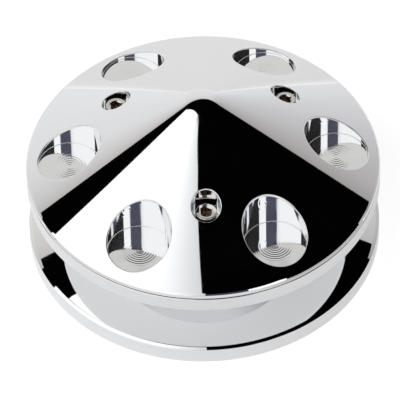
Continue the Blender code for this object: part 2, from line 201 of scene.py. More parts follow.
# The same steel lapped to a ball: a mirror with a thin smear of grease
def makeLappedBallSteel():
    material, tree, shader = newMaterial("lappedBallSteel", "D3D2D0", 1.0, 0.03)
    place = addNode(tree, "ShaderNodeTexCoord").outputs["Object"]
    smear = addNode(tree, "ShaderNodeTexNoise", {"Scale": perMetre(2.5), "Detail": 3.0}, [("Vector", place)])
    rough = addNode(tree, "ShaderNodeMapRange",
                    {"From Min": 0.4, "From Max": 0.75, "To Min": 0.02, "To Max": 0.1},
                    [("Value", smear.outputs["Fac"])])
    tree.links.new(rough.outputs["Result"], shader.inputs["Roughness"])
    return material


# Compression-moulded nitrile: black, with the dull even grain of a shot-blasted mould, dusty in places
def makeMouldedNitrile():
    material, tree, shader = newMaterial("mouldedNitrile", "1B1B1C", 0.0, 0.55, IOR=1.52)
    place = addNode(tree, "ShaderNodeTexCoord").outputs["Object"]
    dust = addNode(tree, "ShaderNodeTexNoise", {"Scale": perMetre(4), "Detail": 5.0}, [("Vector", place)])
    tint = addNode(tree, "ShaderNodeValToRGB", links=[("Fac", dust.outputs["Fac"])])
    tint.color_ramp.elements[0].position, tint.color_ramp.elements[0].color = 0.4, hexColour("171718")
    tint.color_ramp.elements[1].position, tint.color_ramp.elements[1].color = 0.75, hexColour("272625")
    tree.links.new(tint.outputs["Color"], shader.inputs["Base Color"])
    grain = addNode(tree, "ShaderNodeTexNoise", {"Scale": perMetre(0.25), "Detail": 3.0}, [("Vector", place)])
    rough = addNode(tree, "ShaderNodeMapRange", {"To Min": 0.45, "To Max": 0.66},
                    [("Value", grain.outputs["Fac"])])
    tree.links.new(rough.outputs["Result"], shader.inputs["Roughness"])
    blasted = addNode(tree, "ShaderNodeBump", {"Distance": 0.02 * mm}, [("Height", grain.outputs["Fac"])])
    tree.links.new(blasted.outputs["Normal"], shader.inputs["Normal"])
    return material


# Glass-filled nylon, injection moulded: a creamy plastic, flecked where fibres reach the skin
def makeGlassFilledNylon():
    material, tree, shader = newMaterial("glassFilledNylon", "D8CDB2", 0.0, 0.48, IOR=1.53)
    place = addNode(tree, "ShaderNodeTexCoord").outputs["Object"]
    fibres = addNode(tree, "ShaderNodeTexVoronoi", {"Scale": perMetre(0.35)}, [("Vector", place)])
    tint = addNode(tree, "ShaderNodeValToRGB", links=[("Fac", fibres.outputs["Distance"])])
    tint.color_ramp.elements[0].position, tint.color_ramp.elements[0].color = 0.05, hexColour("ECE5D3")
    tint.color_ramp.elements[1].position, tint.color_ramp.elements[1].color = 0.5, hexColour("D2C6A8")
    tree.links.new(tint.outputs["Color"], shader.inputs["Base Color"])
    skin = addNode(tree, "ShaderNodeBump", {"Distance": 0.01 * mm}, [("Height", fibres.outputs["Distance"])])
    tree.links.new(skin.outputs["Normal"], shader.inputs["Normal"])
    return material


# Stamped spring steel, phosphated and oiled: dark grey, with a fine crystal sparkle
def makePhosphatedSpringSteel():
    material, tree, shader = newMaterial("phosphatedSpringSteel", "4B4C4D", 0.8, 0.45)
    place = addNode(tree, "ShaderNodeTexCoord").outputs["Object"]
    crystals = addNode(tree, "ShaderNodeTexVoronoi", {"Scale": perMetre(0.2)}, [("Vector", place)])
    tint = addNode(tree, "ShaderNodeValToRGB", links=[("Fac", crystals.outputs["Distance"])])
    tint.color_ramp.elements[0].color = hexColour("57585A")
    tint.color_ramp.elements[1].color = hexColour("363738")
    tree.links.new(tint.outputs["Color"], shader.inputs["Base Color"])
    rough = addNode(tree, "ShaderNodeMapRange", {"To Min": 0.36, "To Max": 0.56},
                    [("Value", crystals.outputs["Distance"])])
    tree.links.new(rough.outputs["Result"], shader.inputs["Roughness"])
    tooth = addNode(tree, "ShaderNodeBump", {"Distance": 0.008 * mm},
                    [("Height", crystals.outputs["Distance"])])
    tree.links.new(tooth.outputs["Normal"], shader.inputs["Normal"])
    return material


mirrorPolishedAluminium = makeMirrorPolishedAluminium()
endMilledAluminium = makeEndMilledAluminium()
turnedAluminium = makeTurnedAluminium()
stainlessCapScrew = makeStainlessCapScrew()
darkBrownSocket = makeDarkBrownSocket()
passivatedZincSteel = makePassivatedZincSteel()
groundBearingSteel = makeGroundBearingSteel()
lappedBallSteel = makeLappedBallSteel()
mouldedNitrile = makeMouldedNitrile()
glassFilledNylon = makeGlassFilledNylon()
phosphatedSpringSteel = makePhosphatedSpringSteel()
print("materials ready")


# adds faces given as (face, corner, xyz) with a normal at each corner; each is wound to look outwards
def addFaces(shell, corners, normals, slot=0):
    across = np.cross(corners[:, 2] - corners[:, 0], corners[:, -1] - corners[:, 1])
    real = np.linalg.norm(across, axis=1) > 1e-14
    corners, normals, across = corners[real], normals[real], across[real]
    inward = np.einsum("fi,fi->f", across, normals.sum(axis=1)) < 0
    corners[inward] = corners[inward, ::-1]
    normals[inward] = normals[inward, ::-1]
    shell.append((corners, normals, slot))


def addGrid(shell, points, normals, slot=0):  # points[row, place]
    def quads(a):
        return np.stack([a[:-1, :-1], a[:-1, 1:], a[1:, 1:], a[1:, :-1]], axis=2).reshape(-1, 4, 3)
    addFaces(shell, quads(points), quads(normals), slot)


# The outline of a turned piece. Corners are (radius, height, fillet) in mm, walked with the metal on
# the right; it gives stations of (radius, height, normal's radial part, normal's axial part).
def outline(corners, closed=True):
    stations = []
    for i, (radius, height, fillet) in enumerate(corners):
        here = Vector((radius, height))
        before = here - Vector(corners[i - 1][:2])
        after = Vector(corners[(i + 1) % len(corners)][:2]) - here
        if not closed and i == 0:
            before = after
        if not closed and i == len(corners) - 1:
            after = before
        before, after = before.normalized(), after.normalized()
        normal = Vector((-before.y, before.x))
        turn = atan2(before.x * after.y - before.y * after.x, before.dot(after))
        side = 1 if turn < 0 else -1
        steps = ceil(abs(turn) / radians(6)) if fillet and turn else 1
        start = here - before * fillet * tan(abs(turn) / 2)
        centre = start - normal * side * fillet
        for step in range(steps + 1):
            swing = turn * step / steps
            facing = Vector((normal.x * cos(swing) - normal.y * sin(swing),
                             normal.x * sin(swing) + normal.y * cos(swing)))
            spot = centre + facing * side * fillet if fillet else here
            stations.append((spot.x * mm, spot.y * mm, facing.x, facing.y))
    if closed:
        stations.append(stations[0])
    return np.array(stations)


def circleAngles(places):
    return np.arange(places + 1) * 2 * pi / places


def addTurned(shell, stations, places, centre=(0, 0), slot=0):
    turns = circleAngles(places)
    radius, height, out, up = (stations[:, i, None] for i in range(4))
    flat = np.ones_like(turns)
    points = np.stack([centre[0] + radius * np.cos(turns), centre[1] + radius * np.sin(turns),
                       height * flat], axis=2)
    normals = np.stack([out * np.cos(turns), out * np.sin(turns), up * flat], axis=2)
    addGrid(shell, points, normals, slot)


# A ring with round holes through it, lifted from flat by a function that gives heights and normals
def addPierced(shell, radii, places, holes, holePlaces, lift, slot=0):
    turns = circleAngles(places)[:-1]
    spots, edges = [], []

    def addLoop(x, y):
        first = len(spots)
        spots.extend(zip(x, y))
        edges.extend((first + i, first + (i + 1) % len(x)) for i in range(len(x)))

    for radius in (radii[0], radii[-1]):
        addLoop(radius * np.cos(turns), radius * np.sin(turns))
    holeTurns = circleAngles(holePlaces)[:-1]
    for x, y, size in holes:
        addLoop(x + size * np.cos(holeTurns), y + size * np.sin(holeTurns))
    for radius in radii[1:-1]:
        for x, y in zip(radius * np.cos(turns), radius * np.sin(turns)):
            if all(hypot(x - hx, y - hy) > size + 0.3 * mm for hx, hy, size in holes):
                spots.append((x, y))
    result = delaunay_2d_cdt([Vector((x / mm, y / mm)) for x, y in spots], edges, [], 0, 1e-7)
    flat = np.array([v[:] for v in result[0]]) * mm
    sides = np.array([f for f in result[2] if len(f) == 3])
    middle = flat[sides].mean(axis=1)
    away = np.hypot(middle[:, 0], middle[:, 1])
    kept = away > radii[0]
    for x, y, size in holes:
        kept &= np.hypot(middle[:, 0] - x, middle[:, 1] - y) > size
    sides = sides[kept]
    height, normals = lift(flat[:, 0], flat[:, 1])
    points = np.column_stack([flat, height])
    addFaces(shell, points[sides], normals[sides], slot)


# welds the patches into one mesh that keeps each patch's own exact normals
def makePiece(name, shell, materials, body, slotName, *nodes):
    corners = np.concatenate([c.reshape(-1, 3) for c, n, s in shell])
    normals = np.concatenate([n.reshape(-1, 3) for c, n, s in shell])
    faces, slots, first = [], [], 0
    for c, n, s in shell:
        size = c.shape[1]
        faces += [tuple(range(i, i + size)) for i in range(first, first + len(c) * size, size)]
        slots += [s] * len(c)
        first += len(c) * size
    mesh = bpy.data.meshes.new(name)
    mesh.from_pydata(corners.tolist(), [], faces)
    mesh.polygons.foreach_set("material_index", slots)
    mesh.attributes.new("cornerNormal", "FLOAT_VECTOR", "CORNER").data.foreach_set("vector", normals.ravel())
    welded = bmesh.new()
    welded.from_mesh(mesh)
    bmesh.ops.remove_doubles(welded, verts=welded.verts, dist=0.0004 * mm)
    welded.to_mesh(mesh)
    welded.free()
    exact = np.empty(len(mesh.loops) * 3, np.float32)
    mesh.attributes["cornerNormal"].data.foreach_get("vector", exact)
    mesh.attributes.remove(mesh.attributes["cornerNormal"])
    mesh.polygons.foreach_set("use_smooth", [True] * len(mesh.polygons))
    for material in materials:
        mesh.materials.append(material)
    mesh.normals_split_custom_set(exact.reshape(-1, 3))
    piece = bpy.data.objects.new(name, mesh)
    bpy.context.scene.collection.objects.link(piece)
    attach(piece, body)
    if nodes:
        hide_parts(*nodes)
    print(name, len(mesh.polygons), "faces")
    return piece


def around(radius, angle):  # the angle runs from -Y towards +X
    return radius * sin(angle), -radius * cos(angle)


turnedPlaces = 288  # facets round the big turned pieces
smallPlaces = 96  # and round the holes and screws

cover = {
    "footRadius": 37.93,
    "edgeHeight": 22.7,  # where the cone meets the edge
    "noseHeight": 21.65,  # from there to the sharp point
    "tipRadius": 8.0,
    "rollStart": 37.0,
    "bottom": 22.0,
    "outerRadius": 38.1,
    "edgeRound": 0.16,
    "spigotRadius": 17.5,
    "spigotBottom": 20.5,
    "cavityRadius": 15.0,
    "roofThickness": 6.0,
    "roofFlat": 5.0,
    "pocketRadius": 6.85,
    "pocketCircle": 28.65,
    "pocketFloor": 23.2,
    "pocketLip": 0.35,
    "pocketCorner": 0.12,
    "pocketCount": 6,
    "ringPitch": 0.61,  # the end mill's rings on the pocket floors
    "ringSlope": 2.0,  # degrees
    "ringReach": 4.6,
    "ringFade": 3.5,  # from here out they die away
}

screw = {
    "count": 3,
    "circle": 21.025,
    "seat": 27.4,
    "counterboreRadius": 3.075,
    "counterboreLip": 0.22,
    "holeRadius": 1.725,
    "headRadius": 2.325,
    "headHeight": 2.84,
    "headRound": 0.25,
    "underHead": 27.7,
    "shankRadius": 1.425,
    "length": 12.7,
    "acrossFlats": 2.38,
    "socketDepth": 1.6,
    "socketMouth": 1.5,
    "threadPitch": 0.64,
    "threadDepth": 0.25,
}

coneSlope = cover["noseHeight"] / cover["footRadius"]


def coneHeight(radius):  # in mm
    return cover["edgeHeight"] + (cover["footRadius"] - radius) * coneSlope


def liftToCone(x, y):
    away = np.hypot(x, y)
    height = coneHeight(away / mm) * mm
    length = sqrt(1 + coneSlope ** 2)
    return height, np.column_stack([coneSlope * x / away, coneSlope * y / away, np.ones_like(away)]) / length


def liftFlat(height, up):
    def lift(x, y):
        return np.full_like(x, height), np.tile((0.0, 0.0, up), (len(x), 1))
    return lift


# The polished mouth of a hole in the cone: a rolled lip, then the wall down to wallBottom
def addMouth(shell, centre, radius, lip, wallBottom, slot=0):
    turns = circleAngles(smallPlaces)
    steps = np.linspace(0, 1, 7)[:, None]

    def roll(turns, steps):
        cosine, sine = np.cos(turns), np.sin(turns)
        x, y = centre[0] + (radius + lip) * cosine, centre[1] + (radius + lip) * sine
        away = np.hypot(x, y)
        start = coneHeight(away / mm) * mm
        fall = coneSlope * (x * cosine + y * sine) / away  # how the cone climbs towards the hole's middle
        corner = start + fall * lip
        low = corner - lip
        reach = radius + lip * (1 - steps) ** 2
        height = start * (1 - steps) ** 2 + 2 * corner * steps * (1 - steps) + low * steps ** 2
        flat = np.ones_like(steps)
        return np.stack([centre[0] + reach * cosine, centre[1] + reach * sine, height * flat], axis=2)

    nudge = 1e-5
    along = roll(turns + nudge, steps) - roll(turns - nudge, steps)
    down = roll(turns, steps + nudge) - roll(turns, steps - nudge)
    normals = np.cross(along, down)
    normals /= np.linalg.norm(normals, axis=2, keepdims=True)
    points = roll(turns, steps)
    addGrid(shell, points, normals, slot)
    wall = np.stack([points[-1], points[-1]])
    wall[1, :, 2] = wallBottom
    inward = np.stack([-np.cos(turns), -np.sin(turns), np.zeros_like(turns)], axis=1)
    addGrid(shell, wall, np.stack([inward, inward]), slot)


pocketSpots = [around(cover["pocketCircle"] * mm,
                      2 * pi * (i + 0.5) / cover["pocketCount"]) for i in range(cover["pocketCount"])]
screwSpots = [around(screw["circle"] * mm, 2 * pi * i / screw["count"]) for i in range(screw["count"])]


def facedRings(height):  # shallow sawtooth ripples round the middle of a pocket floor
    radius = cover["ringReach"]
    waves = round(radius / cover["ringPitch"])
    reach = np.linspace(0, radius, waves * 8 + 1)
    steepness = np.interp(reach, [0, 0.5, cover["ringFade"], radius], [0, 1, 1, 0])
    phase = reach / radius * waves * 2 * pi
    slope = np.tan(radians(cover["ringSlope"])) * steepness * np.tanh(2.5 * np.cos(phase))
    rise = np.concatenate([[0], np.cumsum((slope[1:] + slope[:-1]) / 2 * np.diff(reach))])
    rise -= rise[-1]
    length = np.hypot(slope, 1)
    return np.column_stack([reach * mm, (height + rise) * mm, -slope / length, 1 / length])


def buildNoseCover():
    shell = []
    coneAngle = atan(coneSlope)
    tipCorner = cover["tipRadius"] * tan(coneAngle / 2)
    tipEnd = cover["tipRadius"] * sin(coneAngle)
    tip = outline([(0, coneHeight(tipCorner), 0), (tipCorner, coneHeight(tipCorner), cover["tipRadius"]),
                   (tipEnd, coneHeight(tipEnd), 0)], closed=False)
    addTurned(shell, tip, turnedPlaces)
    rim = outline([
        (cover["rollStart"], coneHeight(cover["rollStart"]), 0),
        (cover["rollStart"] + 0.5, coneHeight(cover["rollStart"] + 0.5), 2.0),
        (cover["outerRadius"] - 0.25, cover["edgeHeight"] - 0.01, 0.3),
        (cover["outerRadius"], cover["edgeHeight"] - 0.37, 0.1),
        (cover["outerRadius"], cover["bottom"], cover["edgeRound"]),
        (cover["footRadius"] - 0.5, cover["bottom"], 0),
    ], closed=False)
    addTurned(shell, rim, turnedPlaces)
    roof = coneHeight(cover["cavityRadius"]) - cover["roofThickness"]
    roofTop = coneHeight(cover["roofFlat"]) - cover["roofThickness"]
    inside = outline([
        (cover["spigotRadius"], cover["bottom"], 0),
        (cover["spigotRadius"], cover["spigotBottom"], 0.15),
        (cover["cavityRadius"], cover["spigotBottom"], 0.15),
        (cover["cavityRadius"], roof, 0.8),
        (cover["roofFlat"], roofTop, 1.0),
        (0, roofTop, 0),
    ], closed=False)
    addTurned(shell, inside, turnedPlaces, slot=1)

    pocketOuter = (cover["pocketRadius"] + cover["pocketLip"]) * mm
    boreOuter = (screw["counterboreRadius"] + screw["counterboreLip"]) * mm
    holes = [(x, y, pocketOuter) for x, y in pocketSpots] + [(x, y, boreOuter) for x, y in screwSpots]
    radii = np.linspace(tipEnd, cover["rollStart"], 18) * mm
    addPierced(shell, radii, turnedPlaces, holes, smallPlaces, liftToCone)
    screwHoles = [(x, y, screw["holeRadius"] * mm) for x, y in screwSpots]
    bottomRadii = np.linspace(cover["spigotRadius"], cover["footRadius"] - 0.5, 8) * mm
    addPierced(shell, bottomRadii, turnedPlaces, screwHoles, smallPlaces,
               liftFlat(cover["bottom"] * mm, -1.0), slot=1)

    floor, corner = cover["pocketFloor"], cover["pocketCorner"]
    rings = facedRings(floor)
    pocket = outline([(cover["ringReach"], floor, 0), (cover["pocketRadius"], floor, corner),
                      (cover["pocketRadius"], floor + 2 * corner, 0)], closed=False)
    for spot in pocketSpots:
        addMouth(shell, spot, cover["pocketRadius"] * mm, cover["pocketLip"] * mm, (floor + 2 * corner) * mm)
        addTurned(shell, rings, smallPlaces, spot, slot=2)
        addTurned(shell, pocket, smallPlaces, spot, slot=2)
    counterbore = outline([
        (screw["holeRadius"], cover["bottom"], 0), (screw["holeRadius"], screw["seat"], 0.1),
        (screw["counterboreRadius"], screw["seat"], 0.15),
        (screw["counterboreRadius"], screw["seat"] + 0.4, 0),
    ], closed=False)
    for spot in screwSpots:
        addMouth(shell, spot, screw["counterboreRadius"] * mm, screw["counterboreLip"] * mm,
                 (screw["seat"] + 0.4) * mm)
        addTurned(shell, counterbore, smallPlaces, spot, slot=2)
    makePiece("nose_cover_polished", shell, [mirrorPolishedAluminium, turnedAluminium, endMilledAluminium],
              "pulley", "polished_aluminium", "nose_cover")


def buildScrews():
    top = screw["underHead"] + screw["headHeight"]
    sideCount = smallPlaces // 6
    half = screw["acrossFlats"] / 2
    turns = circleAngles(smallPlaces)
    folded = (turns + pi / 6) % (pi / 3) - pi / 6
    flatReach = half / np.cos(folded)
    for index, spot in enumerate(screwSpots):
        shell = []
        thread = []
        low = screw["underHead"] - screw["length"]
        height = screw["underHead"] - 1.2
        while height > low + 1.2:
            thread += [(screw["shankRadius"], height, 0),
                       (screw["shankRadius"] - screw["threadDepth"], height - screw["threadPitch"] / 2, 0)]
            height -= screw["threadPitch"]
        body = outline([
            (screw["socketMouth"], top, 0), (screw["headRadius"], top, screw["headRound"]),
            (screw["headRadius"], screw["underHead"], 0.08), (screw["shankRadius"], screw["underHead"], 0.12),
            *thread, (screw["shankRadius"], low + 0.5, 0.05), (screw["shankRadius"] - 0.4, low, 0.05),
            (0, low, 0),
        ], closed=False)
        addTurned(shell, body, smallPlaces, spot)
        # the countersink at the socket's mouth runs down to the hexagon
        mouth = np.full_like(turns, screw["socketMouth"])
        sink = tan(radians(30))
        edge = top - (screw["socketMouth"] - flatReach) * sink

        def ring(reach, height):
            return np.stack([spot[0] + reach * mm * np.cos(turns), spot[1] + reach * mm * np.sin(turns),
                             height * mm * np.ones_like(turns)], axis=1)

        slant = np.stack([-sin(radians(30)) * np.cos(turns), -sin(radians(30)) * np.sin(turns),
                          np.full_like(turns, cos(radians(30)))], axis=1)
        addGrid(shell, np.stack([ring(mouth, top), ring(flatReach, edge)]), np.stack([slant, slant]), 0)
        socketFloor = top - screw["socketDepth"]
        for side in range(6):
            middle = side * pi / 3
            near = np.linspace(middle - pi / 6, middle + pi / 6, sideCount + 1)
            reach = half / np.cos(near - middle)
            lip = top - (screw["socketMouth"] - reach) * sink

            def row(height):
                return np.stack([spot[0] + reach * mm * np.cos(near), spot[1] + reach * mm * np.sin(near),
                                 height * mm * np.ones_like(near)], axis=1)

            inward = np.tile((-cos(middle), -sin(middle), 0.0), (len(near), 1))
            addGrid(shell, np.stack([row(lip), row(socketFloor)]), np.stack([inward, inward]), 1)
        upward = np.tile((0.0, 0.0, 1.0), (len(turns), 1))
        addGrid(shell, np.stack([ring(flatReach, socketFloor), ring(flatReach * 0, socketFloor)]),
                np.stack([upward, upward]), 1)
        makePiece(f"cap_screw_{index + 1}", shell, [stainlessCapScrew, darkBrownSocket],
                  "pulley", "stainless_steel", f"cover_screw_{index + 1}")


pulley = {
    "rear": 1.5,
    "front": 21.7,
    "radius": 38.1,
    "grooveRear": 5.5,
    "grooveFront": 18.2,
    "grooveDepth": 12.5,
    "wallAngle": 18,  # degrees, half the V
    "floorRound": 0.8,
    "rimRound": 0.22,
    "buffWidth": 0.65,
    "buffAngle": 32,
    "buffRound": 0.12,
    "bossRadius": 20.8,
    "relief": 1.2,
    "reliefRadius": 33.5,
    "boreRadius": 17.8,
    "shoulderRadius": 15.8,
    "shoulder": 6.05,
    "ringGrooveRadius": 18.6,
    "ringGrooveRear": 17.35,
    "ringGrooveFront": 19.45,
    "tapDepth": 14.4,
}


def buildPulley():
    shell = []
    run = pulley["grooveDepth"] * tan(radians(pulley["wallAngle"]))
    floorRadius = pulley["radius"] - pulley["grooveDepth"]
    rim = pulley["rimRound"]
    buff = pulley["buffWidth"]  # the mop rolls the groove's edges over
    rise = buff * tan(radians(pulley["wallAngle"]))
    drop = buff * tan(radians(pulley["buffAngle"])) - rise
    outer = outline([
        (pulley["radius"] - 1, pulley["front"], 0),
        (pulley["radius"], pulley["front"], rim),
        (pulley["radius"], pulley["grooveFront"] + drop, pulley["buffRound"]),
        (pulley["radius"] - buff, pulley["grooveFront"] - rise, 1.0),
        (floorRadius, pulley["grooveFront"] - run, pulley["floorRound"]),
        (floorRadius, pulley["grooveRear"] + run, pulley["floorRound"]),
        (pulley["radius"] - buff, pulley["grooveRear"] + rise, 1.0),
        (pulley["radius"], pulley["grooveRear"] - drop, pulley["buffRound"]),
        (pulley["radius"], pulley["rear"], rim),
        (pulley["reliefRadius"], pulley["rear"], 0.1),
    ], closed=False)
    addTurned(shell, outer, turnedPlaces)
    inner = outline([
        (pulley["reliefRadius"], pulley["rear"], 0.0),
        (pulley["reliefRadius"] - pulley["relief"], pulley["rear"] + pulley["relief"], 0.4),
        (pulley["bossRadius"] + pulley["relief"], pulley["rear"] + pulley["relief"], 0.4),
        (pulley["bossRadius"], pulley["rear"], 0.1),
        (pulley["shoulderRadius"], pulley["rear"], 0.3),
        (pulley["shoulderRadius"], pulley["shoulder"], 0.15),
        (pulley["boreRadius"], pulley["shoulder"], 0.1),
        (pulley["boreRadius"], pulley["ringGrooveRear"], 0),
        (pulley["ringGrooveRadius"], pulley["ringGrooveRear"], 0),
        (pulley["ringGrooveRadius"], pulley["ringGrooveFront"], 0),
        (pulley["boreRadius"], pulley["ringGrooveFront"], 0),
        (pulley["boreRadius"], pulley["front"], 0),
    ], closed=False)
    addTurned(shell, inner, turnedPlaces, slot=1)
    taps = [(x, y, screw["holeRadius"] * mm) for x, y in screwSpots]
    radii = np.linspace(pulley["boreRadius"], pulley["radius"] - 1, 8) * mm
    addPierced(shell, radii, turnedPlaces, taps, smallPlaces, liftFlat(pulley["front"] * mm, 1.0), slot=1)
    tap = outline([(0, pulley["tapDepth"], 0), (screw["holeRadius"], pulley["tapDepth"], 0),
                   (screw["holeRadius"], pulley["front"], 0)], closed=False)
    for spot in screwSpots:
        addTurned(shell, tap, smallPlaces, spot, slot=1)
    makePiece("pulley_body_turned", shell, [mirrorPolishedAluminium, turnedAluminium], "pulley",
              "polished_aluminium", "pulley_body")


bearing = {
    "rear": 6.35,
    "front": 17.35,
    "boreRadius": 7.5,
    "outerRadius": 17.5,
    "innerShoulder": 10.245,
    "outerShoulder": 14.755,
    "pitchRadius": 12.5,
    "raceRadius": 3.275,
    "ballRadius": 2.975,
    "ballCount": 8,
    "cornerRound": 0.3,
    "sealInner": 10.545,
    "sealOuter": 14.455,
    "sealInset": 0.4,
    "sealThickness": 0.8,
    "sealDish": 0.22,  # how far the moulded face is recessed between its beads
}

mount = {
    "flangeRadius": 10.0,
    "flangeFront": 6.05,
    "sleeveRadius": 7.2,
    "sleeveFront": 17.35,
    "holeRadius": 5.1,
    "chamfer": 0.4,
    "collarRear": 17.65,
    "collarFront": 20.15,
    "collarRadius": 10.0,
}


def makeTurnedPiece(node, name, corners, material, body, slotName):
    shell = []
    addTurned(shell, outline(corners), 2 * smallPlaces)
    return makePiece(name, shell, [material], body, slotName, node)


def mirrored(corners, middle):  # the same section the other way up, still walked with the metal on the right
    return [(radius, 2 * middle - height, fillet) for radius, height, fillet in corners[::-1]]


def buildBearing():
    rear, front, edge = bearing["rear"], bearing["front"], bearing["cornerRound"]
    middle = (rear + front) / 2
    pitch, race = bearing["pitchRadius"], bearing["raceRadius"]

    # the ball track's arc as one rounded corner, from the front shoulder to the rear
    def track(shoulder, side):
        drop = sqrt(race ** 2 - (pitch - shoulder) ** 2)
        tip = pitch + side * race ** 2 / abs(pitch - shoulder)
        return [(shoulder, middle + drop, 0), (tip, middle, race), (shoulder, middle - drop, 0)]

    inner, outer = bearing["innerShoulder"], bearing["outerShoulder"]
    makeTurnedPiece("bearing_inner_ring", "bearing_inner_ring_ground", [
        (bearing["boreRadius"], front, edge), (inner, front, 0.15), *track(inner, -1), (inner, rear, 0.15),
        (bearing["boreRadius"], rear, edge)], groundBearingSteel, "hub", "bearing_steel")
    makeTurnedPiece("bearing_outer_ring", "bearing_outer_ring_ground", [
        (outer, front, 0.15), (bearing["outerRadius"], front, edge), (bearing["outerRadius"], rear, edge),
        (outer, rear, 0.15),
        *track(outer, 1)[::-1]], groundBearingSteel, "pulley", "bearing_steel")

    low, high = rear + bearing["sealInset"], rear + bearing["sealInset"] + bearing["sealThickness"]
    dish, sealInner, sealOuter = bearing["sealDish"], bearing["sealInner"], bearing["sealOuter"]
    section = [
        (sealInner + 0.15, high, 0.1), (sealOuter, high, 0.12), (sealOuter, low, 0.15),
        (sealOuter - 0.75, low, 0.12),
        (sealOuter - 0.95, low + dish, 0.12), (sealInner + 1.35, low + dish, 0.12),
        (sealInner + 1.15, low + 0.08, 0.1),
        (sealInner + 0.6, low + 0.08, 0.1), (sealInner + 0.45, low + dish, 0.08),
        (sealInner, low + dish, 0.08),
    ]
    makeTurnedPiece("bearing_seal_rear", "seal_rear_moulded", section, mouldedNitrile, "pulley",
                    "nitrile_rubber")
    makeTurnedPiece("bearing_seal_front", "seal_front_moulded", mirrored(section, middle), mouldedNitrile,
                    "pulley", "nitrile_rubber")

    size = bearing["ballRadius"]
    ball = outline([(0, middle + size, 0), (size, middle + size, size), (size, middle - size, size),
                    (0, middle - size, 0)], closed=False)
    for index in range(bearing["ballCount"]):
        shell = []
        addTurned(shell, ball, 48, around(pitch * mm, 2 * pi * index / bearing["ballCount"]))
        makePiece(f"ball_{index + 1}_lapped", shell, [lappedBallSteel], "ball_train", "ball_steel",
                  f"bearing_ball_{index + 1}")


def buildMount():
    hole, sleeve = mount["holeRadius"], mount["sleeveRadius"]
    flange, chamfer = mount["flangeRadius"], mount["chamfer"]
    makeTurnedPiece("mount_bush", "mount_bush_zinc", [
        (hole, mount["sleeveFront"], 0.1), (sleeve, mount["sleeveFront"], chamfer),
        (sleeve, mount["flangeFront"], 0.1),
        (flange, mount["flangeFront"], 0.15), (flange, 0, chamfer), (hole, 0, chamfer)],
        passivatedZincSteel, "hub", "zinc_plated_steel")
    makeTurnedPiece("front_collar", "front_collar_zinc", [
        (hole, mount["collarFront"], 0.3), (mount["collarRadius"], mount["collarFront"], 0.4),
        (mount["collarRadius"], mount["collarRear"], 0.15), (hole, mount["collarRear"], 0.15)],
        passivatedZincSteel, "hub", "zinc_plated_steel")


def dressNode(node, material):  # a CAD solid that stays, with its real finish
    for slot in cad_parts[node].material_slots:
        slot.material = material


buildPulley()
buildNoseCover()
buildScrews()
buildBearing()
buildMount()
dressNode("bearing_cage", glassFilledNylon)
dressNode("retaining_ring", phosphatedSpringSteel)


studio = {
    "turn": -1.26,  # degrees, the whole set is turned with the camera
    "ceiling": 1.5,  # metres, the cards' height
    "bounceHeight": 0.12,  # a small white card held close over the left of the pulley
    "cameraDistance": 1.07898,
    "cameraElevation": 48.01,
    "lens": 447.66,
    "aimHeight": 10.83 * mm,
    "slide": -0.807 * mm,
    "roll": -1.16,
}


# a flat card over the set; corners are metres sideways and away per metre of height, x to the right
def addCard(name, corners, colour, strength, fadeFrom=None, lift=None):
    turn = Matrix.Rotation(radians(studio["turn"]), 3, "Z")
    lift = lift or studio["ceiling"]
    mesh = bpy.data.meshes.new(name)
    mesh.from_pydata([(turn @ Vector((x * lift, y * lift, lift)))[:] for x, y in corners], [],
                     [tuple(range(len(corners)))])
    card = bpy.data.objects.new(name, mesh)
    bpy.context.scene.collection.objects.link(card)
    material = bpy.data.materials.new(name)
    material.use_nodes = True
    tree = material.node_tree
    tree.nodes.clear()
    glow = addNode(tree, "ShaderNodeEmission", {"Color": hexColour(colour), "Strength": strength})
    if fadeFrom:  # a softbox is dimmer towards this edge
        place = addNode(tree, "ShaderNodeTexCoord").outputs["Object"]
        across = addNode(tree, "ShaderNodeSeparateXYZ", links=[("Vector", place)])
        fade = addNode(tree, "ShaderNodeMapRange", {
            "interpolation_type": "SMOOTHSTEP", "From Min": fadeFrom["x"] * lift,
            "From Max": (fadeFrom["x"] - fadeFrom["reach"]) * lift,
            "To Min": fadeFrom["strength"], "To Max": strength}, [("Value", across.outputs["X"])])
        tree.links.new(fade.outputs["Result"], glow.inputs["Strength"])
    addNode(tree, "ShaderNodeOutputMaterial", links=[("Surface", glow.outputs["Emission"])])
    mesh.materials.append(material)
    card.visible_camera = False
    card.visible_shadow = False


flagBack = [(-2.2, 0.66), (-0.9, 0.69), (-0.5, 0.735), (0, 0.81), (0.4, 0.84), (0.75, 0.79), (1.2, 0.78),
            (1.62, 0.735)]
armFront = [(-2.2, 0.35), (-0.97, 0.335)]
flagSide = [(-0.85, 0.235), (-0.69, 0.2), (-0.55, 0.127), (-0.38, 0), (-0.285, -0.145), (-0.23, -0.26),
            (-0.15, -0.28),
            (-0.08, -0.306), (-0.045, -0.335), (-0.015, -0.36), (0.0, -0.45)]
clothBack = [(0.0, -0.62), (0.32, -0.54)]
addCard("overheadFlag", flagBack + [(1.62, -0.1), (1.1, -0.74),
    (0.52, -0.35)] + clothBack[::-1] + (armFront + flagSide)[::-1], "020202", 1.0)
addCard("darkCloth", [(-0.125, -0.89), *clothBack, (0.66, -1.1), (-0.18, -1.27)], "474459", 1.0)
addCard("stripLight", [(0.32, -0.54), (0.66, -1.1), (1.1, -0.74), (0.52, -0.35)], "FFFFFF", 1.2)
addCard("sideSoftbox", armFront + flagSide + [(0.0, -0.62), (-0.125, -0.89), (-0.18, -1.27), (-2.2, -1.3)],
        "FFFFFF", 1.16,
        {"x": 0.02, "reach": 0.36, "strength": 0.74})
addCard("bounceCard", [(-0.83, 0.14), (-0.73, 0.19), (-0.6, 0.16), (-0.3, -0.1), (-0.36, -0.26),
                       (-0.62, -0.1)],
        "FFFFFF", 1.15, lift=studio["bounceHeight"])


